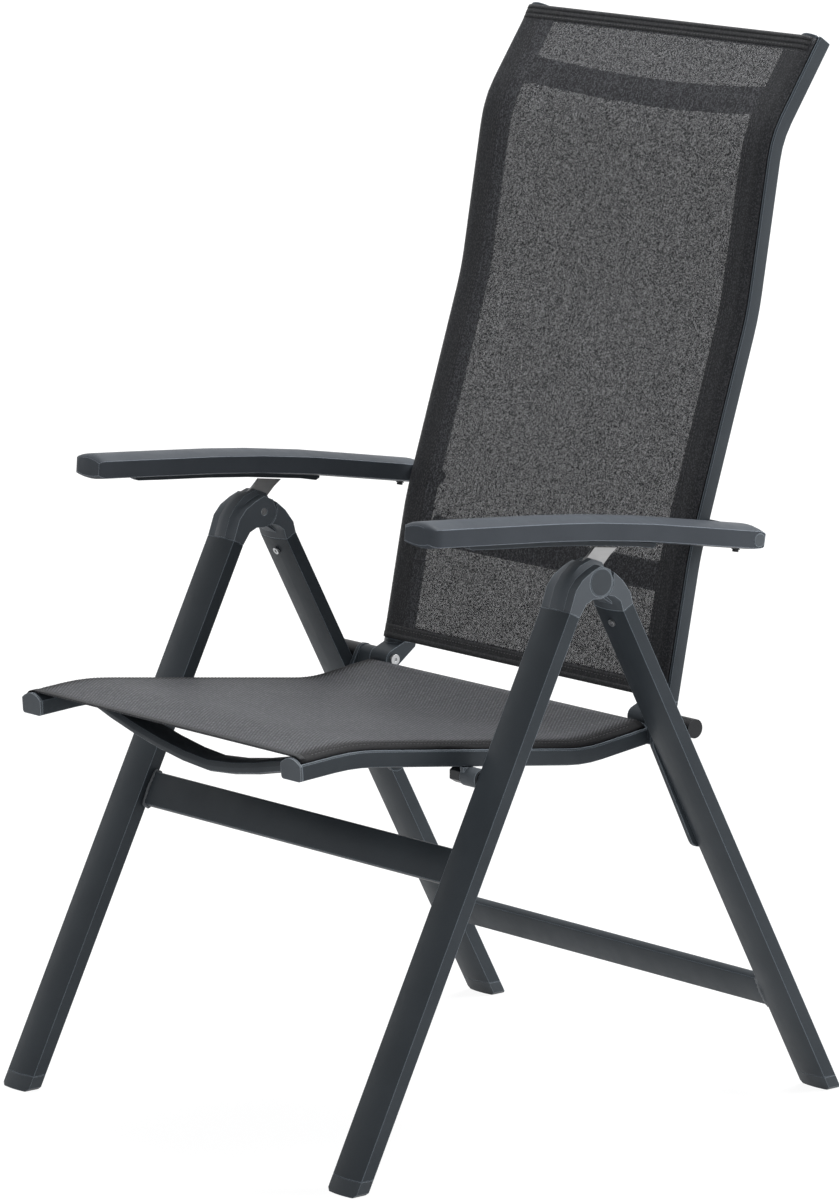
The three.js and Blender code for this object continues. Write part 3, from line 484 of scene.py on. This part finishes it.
def weave(name, warp, weft, dark, pitch, slub, contrast, openness=0, rib_depth=0, hem_and_edge_shade=None):
    """Coated mesh of threads a pitch apart, with UV in metres: warp runs along the piece.

    slub is the width and length of the patches that differ in light, by contrast. openness is
    the share of holes. A rib runs at an angle where rib_depth is given. The last argument is a
    darker colour for the cloth's sides, where it begins and ends across, and its share: on the
    back it is the doubled hem, and on the seat it is painted shade where the cloth turns down
    over the rail.
    """
    shader = Shader(name)
    uv = shader.node("ShaderNodeUVMap", uv_map="cloth").outputs["UV"]
    apart = shader.node("ShaderNodeSeparateXYZ")
    shader.link(uv, apart.inputs["Vector"])
    u, v = apart.outputs["X"], apart.outputs["Y"]

    # Threads: each crosses over and under its neighbours
    wobble = shader.math("MULTIPLY", shader.noise(shader.stretch(uv, (260, 40, 1)), 1, 2), 0.35)
    u_turn = shader.math("ADD", shader.math("MULTIPLY", u, 1 / pitch), wobble)
    v_turn = shader.math("MULTIPLY", v, 1 / pitch)
    yarn_u = shader.math("MULTIPLY", shader.math("PINGPONG", u_turn, 0.5), 2)
    yarn_v = shader.math("MULTIPLY", shader.math("PINGPONG", v_turn, 0.5), 2)
    height = shader.math("MAXIMUM", yarn_u, shader.math("MULTIPLY", yarn_v, 0.8))

    # Slubs: patches of one random value each, staggered from column to column
    slub_u = shader.math("FLOOR", shader.math("MULTIPLY", u_turn, pitch / slub[0]))
    stagger = shader.math("MULTIPLY", slub_u, 0.37)
    slub_v = shader.math("ADD", shader.math("MULTIPLY", v, 1 / slub[1]), stagger)
    cell = shader.node("ShaderNodeCombineXYZ")
    shader.link(slub_u, cell.inputs["X"])
    shader.link(shader.math("FLOOR", slub_v), cell.inputs["Y"])
    speckle = shader.node("ShaderNodeTexWhiteNoise", noise_dimensions="2D")
    shader.link(cell.outputs["Vector"], speckle.inputs["Vector"])
    column = shader.node("ShaderNodeTexWhiteNoise", noise_dimensions="1D")
    shader.link(shader.math("FLOOR", u_turn), column.inputs["W"])
    level = shader.span(column.outputs["Value"], 0, 1, 0.7, 1)
    light = shader.math("MULTIPLY", speckle.outputs["Value"], level)

    # Colour: threads, painted shade in their gaps, slubs, rib, long streaks, and the darker sides:
    # the back's doubled hem, and painted shade where the seat turns down over the rail
    yarn = shader.mix(shader.math("GREATER_THAN", yarn_u, yarn_v), weft, warp)
    tint = shader.mix(0.06, yarn, speckle.outputs["Color"], "OVERLAY")
    # Painted shade: the gaps between and under the threads are darkened
    gap_shade = shader.mix(shader.span(height, 0.1, 0.75, 0.65, 0), tint, dark)
    dull = shader.mix(shader.span(light, 0.0, 0.42, contrast, 0), gap_shade, dark)
    tone = shader.mix(shader.span(light, 0.45, 0.95, 0, contrast), dull, scaled(warp, 3))
    apart = shader.node("ShaderNodeSeparateXYZ")
    shader.link(shader.place(), apart.inputs["Vector"])
    side = shader.math("ABSOLUTE", apart.outputs["X"])
    if rib_depth:
        slant = shader.math("ADD", shader.math("MULTIPLY", u, 227), shader.math("MULTIPLY", v, 187))
        rib = shader.math("PINGPONG", slant, 0.5)
        tone = shader.mix(shader.span(rib, 0.05, 0.4, rib_depth, 0), tone, dark)
        side = shader.math("ADD", side, shader.span(rib, 0.05, 0.45, 0.016 * rib_depth, 0))
    streak = shader.noise(shader.stretch(uv, (900, 14, 1)), 1, 2)
    tone = shader.mix(shader.span(streak, 0.35, 0.7, 0, 0.3), tone, dark)
    # A darker band at the sides: the back's doubled hem, and painted shade where the seat's cloth
    # turns down over the rail
    if hem_and_edge_shade:
        edge_colour, begins, ends, edge_share = hem_and_edge_shade
        hem_and_shade_band = shader.span(side, begins, ends, 0, 1)
        tone = shader.mix(hem_and_shade_band, tone, shader.mix(edge_share, tone, edge_colour))
    shader.drive(tone, "Base Color")
    shader.set(Roughness=0.6, Specular_IOR_Level=0.14)
    shader.bump(height, 0.5, 0.0003)

    # Holes between the threads, and only the near side of the cloth
    if openness:
        wide = shader.math("SQRT", shader.math("MULTIPLY", speckle.outputs["Value"], 2 * openness))
        hole_u = shader.math("LESS_THAN", yarn_u, wide)
        hole_v = shader.math("LESS_THAN", yarn_v, wide)
        behind = shader.node("ShaderNodeNewGeometry").outputs["Backfacing"]
        clear = shader.math("MAXIMUM", shader.math("MULTIPLY", hole_u, hole_v), behind)
        shader.drive(shader.math("SUBTRACT", 1, clear), "Alpha")
    return shader.made


# Looks
powder = coat(
    "powder_coat", (0.034, 0.0405, 0.047), (0.042, 0.0495, 0.057),
    rough=0.42, level=0.12, grain=1500, depth=0.12, edge=0.0014, highlight_gain=5,
)
arm_coat = coat(
    "armrest_coat", (0.056, 0.063, 0.073), (0.066, 0.074, 0.085),
    rough=0.46, level=0.06, grain=1500, depth=0.10, edge=0.0011, highlight_gain=6,
)
moulding = coat(
    "moulded_plastic", (0.078, 0.088, 0.100), (0.092, 0.104, 0.116),
    rough=0.50, level=0.16, grain=2400, depth=0.22, edge=0.0011,
)
dark_moulding = coat(
    "dark_plastic", (0.044, 0.051, 0.058), (0.052, 0.060, 0.068),
    rough=0.46, level=0.16, grain=2400, depth=0.20, edge=0.0010,
)
weld_metal = coat(
    "weld_bead", (0.085, 0.093, 0.100), (0.13, 0.14, 0.15),
    rough=0.55, level=0.30, grain=900, depth=0.6, edge=0.0006,
)
black_plastic = coat(
    "black_plastic", (0.010, 0.011, 0.013), (0.016, 0.017, 0.019),
    rough=0.42, level=0.25, grain=2200, depth=0.18, edge=0.0007,
)
black_steel = coat(
    "black_steel", (0.014, 0.016, 0.019), (0.020, 0.022, 0.025),
    rough=0.36, level=0.30, grain=1200, depth=0.10, edge=0.0007,
)
bare_steel = steel("bare_steel", (0.52, 0.53, 0.54), 0.30, (700, 700, 700))
catch_steel = steel("catch_steel", (0.44, 0.44, 0.445), 0.36, (900, 26, 900))
back_weave = weave(
    "back_mesh", (0.041, 0.042, 0.046), (0.032, 0.033, 0.036), (0.009, 0.009, 0.011),
    pitch=0.0011, slub=(0.0011, 0.0013), contrast=0.92, openness=0.053,
    hem_and_edge_shade=((0.020, 0.021, 0.023), 0.1885, 0.1897, 0.5),
)
seat_weave = weave(
    "seat_mesh", (0.116, 0.119, 0.128), (0.084, 0.087, 0.094), (0.018, 0.018, 0.021),
    pitch=0.0014, slub=(0.0016, 0.0021), contrast=0.22, rib_depth=0.62,
    # Painted shade where the seat's cloth turns down over the rail, as its darker sides
    hem_and_edge_shade=((0.005, 0.005, 0.006), 0.203, 0.214, 0.95),
)
hem_weave = weave(
    "hem_mesh", (0.044, 0.045, 0.047), (0.034, 0.035, 0.037), (0.010, 0.010, 0.012),
    pitch=0.0011, slub=(0.0013, 0.0013), contrast=0.25,
)
hem_thread = thread("hem_thread", (0.11, 0.11, 0.115))

SURFACES = {
    "frame": powder,
    "moulding": moulding,
    "black_plastic": black_plastic,
    "black_steel": black_steel,
    "bare_steel": bare_steel,
    "catch_steel": catch_steel,
    "seat_mesh": seat_weave,
    "back_mesh": back_weave,
}

# Kinds of node whose look differs from their slot's
OWN_LOOKS = {
    "armrest": arm_coat,
    "seat_bracket": moulding,
    "knuckle_cap": dark_moulding,
    "armrest_rack": dark_moulding,
    "front_foot": dark_moulding,
    "rear_foot": dark_moulding,
}

# CAD nodes: their look, and smooth faces between hard edges
for subpart in frame["record"]["subparts"]:
    piece = nodes[subpart["node"]]
    kind = subpart["node"].removesuffix("_left").removesuffix("_right")
    surface = OWN_LOOKS.get(kind, SURFACES[subpart["material_slot"]])
    piece.data.materials.clear()
    piece.data.materials.append(surface)
    for polygon in piece.data.polygons:
        polygon.use_smooth = True
    joined = piece.modifiers.new("joined", "WELD")
    joined.merge_threshold = 1e-6
    split = piece.modifiers.new("split", "EDGE_SPLIT")
    split.split_angle = math.radians(33)


# Slings
def cloth_piece(sling, surface):
    along = spaced(0, sling.line.length, 8)
    name = f"{sling.name}_cloth"
    piece = slab(name, sling, along, cloth_profile(), CLOTH_UP, CLOTH_THICK, surface)
    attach(piece, sling.body)
    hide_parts(f"{sling.name}_sling")
    return piece


def hem_piece(name, sling, along, across, lift, thick):
    piece = slab(name, sling, along, across, lift, thick, hem_weave)
    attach(piece, sling.body)
    sling.trim.append(piece)


def under_hems(sling, low_fold, high_fold):
    """The doubled layer under a sling's sides and ends."""
    length = sling.line.length
    along = spaced(low_fold, length - high_fold, 10)
    for side, word in ((1, "left"), (-1, "right")):
        name = f"{sling.name}_side_hem_{word}"
        hem_piece(name, sling, along, side_hem_profile(side), HEM_UP, HEM_THICK)
    across = flat_places(-RAIL_CENTRE + 1, RAIL_CENTRE - 1, CLOTH_STEP)
    low = (0.5, low_fold - 0.6)
    high = (length - high_fold + 0.6, length - 0.5)
    for word, (start, end) in (("low", low), ("high", high)):
        name = f"{sling.name}_{word}_hem"
        hem_piece(name, sling, spaced(start, end, 4), across, HEM_UP, HEM_THICK)


def band(name, sling, start, end, layer):
    """A folded end over the cloth, as a low step on the layers under it."""
    along = spaced(start, end, 2.5)
    hem_piece(name, sling, along, band_profile(), FOLD_UP + FOLD_RISE * layer, FOLD_THICK)


def side_rows(first, start, end):
    rows = []
    for side in (1, -1):
        for x in (first, first + ROW_GAP):
            rows.append((side * x, start, side * x, end))
    return rows


def end_row(v):
    return (-ROW_REACH, v, ROW_REACH, v)


seat_end = rail_line.length
back_end = back_line.length
seat_cloth = cloth_piece(seat, seat_weave)
back_cloth = cloth_piece(back, back_weave)
under_hems(seat, 15, 15)
under_hems(back, 17, 18)
band("seat_front_band", seat, 0.2, 7, 0)
band("back_low_band", back, 0.2, 15, 0)
band("back_low_lip", back, 0.4, 6, 1)
band("back_top_band", back, back_end - 15.5, back_end - 0.2, 0)
band("back_top_fold", back, back_end - 10, back_end - 0.3, 1)
band("back_top_lip", back, back_end - 4.5, back_end - 0.4, 2)

cloth_top = CLOTH_UP + CLOTH_THICK / 2 + 0.05
seat_rows = side_rows(CROWN_ROW, 16, seat_end - 16) + [end_row(9.5), end_row(seat_end - 12)]
stitches("seat_stitching", seat, seat_rows, cloth_top)
stitches("back_stitching", back, side_rows(HEM_ROW, 18, back_end - 19), cloth_top)
stitches("band_stitching", back, [end_row(11), end_row(back_end - 12.8)], FOLD_UP + 0.28)


# Weld beads round the ends of the tubes that cross
def hull_half(points):
    hull = []
    for p in points:
        while len(hull) > 1:
            (ay, az), (by, bz) = hull[-2:]
            if (by - ay) * (p[1] - az) - (bz - az) * (p[0] - ay) > 0:
                break
            hull.pop()
        hull.append(p)
    return hull[:-1]


def outline_at(node, x):
    """Outline of a tube's end at x, as corners (y, z)."""
    found = set()
    for vertex in nodes[node].data.vertices:
        if abs(vertex.co.x - x) < END_DEPTH:
            found.add((round(vertex.co.y, 6), round(vertex.co.z, 6)))
    found = sorted(found)
    return hull_half(found) + hull_half(found[::-1])


def weld_bead(name, node, side, body):
    """A rough ring of metal round one end of a tube."""
    low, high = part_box(node)
    x = high.x if side > 0 else low.x
    corners = [Vector((x, y, z)) for y, z in outline_at(node, x)]
    path = []
    for a, b in zip(corners, corners[1:] + corners[:1]):
        steps = max(1, round((b - a).length / BEAD_STEP))
        path += [a.lerp(b, i / steps) for i in range(steps)]
    middle = sum(path, Vector()) / len(path)
    points, faces = [], []
    for i, p in enumerate(path):
        out = (p - middle).normalized()
        ripple = 0.82 + 0.16 * math.sin(i * 2.1) + random.uniform(-0.06, 0.12)
        scale = BEAD_RADIUS * ripple
        for k in range(BEAD_RING):
            t = 2 * math.pi * k / BEAD_RING
            inward = BEAD_INSET + 0.68 * scale * (1 - math.cos(t))
            outward = scale * (0.15 + 0.8 * math.sin(t))
            points.append(p + Vector((-side * inward, 0, 0)) + out * outward)
    for i in range(len(path)):
        here, there = i * BEAD_RING, (i + 1) % len(path) * BEAD_RING
        for k in range(BEAD_RING):
            after = (k + 1) % BEAD_RING
            face = (here + k, here + after, there + after, there + k)
            faces.append(face if side < 0 else (face[0], face[3], face[2], face[1]))
    piece = mesh_piece(name, points, faces, weld_metal)
    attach(piece, body)


for bar, body in (
    ("front_crossbar", "front_frame"),
    ("rear_crossbar", "rear_frame"),
    ("seat_front_tube", "seat"),
    ("back_upper_tube", "backrest"),
    ("back_lower_tube", "backrest"),
):
    for side, word in ((1, "left"), (-1, "right")):
        weld_bead(f"{bar}_weld_{word}", bar, side, body)


# Floor, light and camera
def make_floor():
    """White to the camera; near the chair a share of it is plain, and takes the shadow."""
    mesh = bpy.data.meshes.new("floor")
    corners = []
    for x, y in ((-1, -1), (1, -1), (1, 1), (-1, 1)):
        corners.append((x * FLOOR_HALF, y * FLOOR_HALF, 0))
    mesh.from_pydata(corners, [], [(0, 1, 2, 3)])
    piece = bpy.data.objects.new("floor", mesh)
    bpy.context.scene.collection.objects.link(piece)
    piece.location.z = -FLOOR_DROP
    shader = Shader("floor_white")
    shader.set(Base_Color=(0.80, 0.80, 0.80, 1), Roughness=0.9, Specular_IOR_Level=0.0)
    glow = shader.node("ShaderNodeEmission")
    glow.inputs["Strength"].default_value = FLOOR_GLOW
    away = shader.node("ShaderNodeVectorMath", operation="LENGTH")
    shader.link(shader.place(), away.inputs[0])
    white_share = shader.span(away.outputs["Value"], 0.9, 2.4, 0.8, 1.0)
    share = shader.math("MULTIPLY", shader.shown(), white_share)
    target = shader.tree.nodes["Material Output"].inputs["Surface"]
    shader.mix_shader(share, shader.bsdf.outputs["BSDF"], glow.outputs["Emission"], target)
    mesh.materials.append(shader.made)


def make_world():
    world = bpy.data.worlds.new("studio")
    world.use_nodes = True
    bpy.context.scene.world = world
    tree = Tree(world.node_tree)
    room = tree.tree.nodes["Background"]
    room.inputs["Color"].default_value = (0.93, 0.96, 1.0, 1)
    room.inputs["Strength"].default_value = 0.22
    white = tree.node("ShaderNodeBackground")
    white.inputs["Color"].default_value = (1, 1, 1, 1)
    white.inputs["Strength"].default_value = 1.0
    target = tree.tree.nodes["World Output"].inputs["Surface"]
    tree.mix_shader(
        tree.shown(), room.outputs["Background"], white.outputs["Background"], target
    )


def lamp(name, place, size, power):
    """An area lamp turned to the middle of the chair."""
    light = bpy.data.lights.new(name, "AREA")
    light.shape = "RECTANGLE"
    light.size, light.size_y = size
    light.energy = power
    piece = bpy.data.objects.new(name, light)
    bpy.context.scene.collection.objects.link(piece)
    piece.location = place
    aim = Vector((0, 0, 0.5)) - Vector(place)
    piece.rotation_euler = aim.to_track_quat("-Z", "Y").to_euler()


def make_camera():
    azimuth, elevation = math.radians(CAMERA_AZIMUTH), math.radians(CAMERA_ELEVATION)
    flat = math.cos(elevation)
    away = Vector((flat * math.sin(azimuth), -flat * math.cos(azimuth), math.sin(elevation)))
    width, height = PHOTO_SIZE
    camera = bpy.data.cameras.new("camera")
    camera.sensor_width = SENSOR
    camera.lens = FOCAL_LENGTH / height * SENSOR
    camera.shift_x = (width / 2 - OPTICAL_CENTRE[0]) / height
    camera.shift_y = (OPTICAL_CENTRE[1] - height / 2) / height
    camera.clip_start = 0.1
    camera.clip_end = 60
    piece = bpy.data.objects.new("camera", camera)
    bpy.context.scene.collection.objects.link(piece)
    right = (-away).cross(Vector((0, 0, 1))).normalized()
    turned = Matrix((right, right.cross(-away), away)).transposed()
    place = Vector(CAMERA_TARGET) + CAMERA_DISTANCE * away
    piece.matrix_world = Matrix.Translation(place) @ turned.to_4x4()
    bpy.context.scene.camera = piece


make_floor()
make_world()
lamp("key_light", (2.1, 2.9, 2.2), (1.6, 1.6), 105)
lamp("top_light", (-0.3, 0.8, 3.3), (2.2, 2.2), 118)
lamp("front_light", (2.3, -2.5, 1.7), (2.0, 2.0), 16)
lamp("side_light", (-3.0, -0.7, 0.8), (1.2, 1.8), 4)
make_camera()
bpy.context.scene.view_settings.view_transform = "Standard"
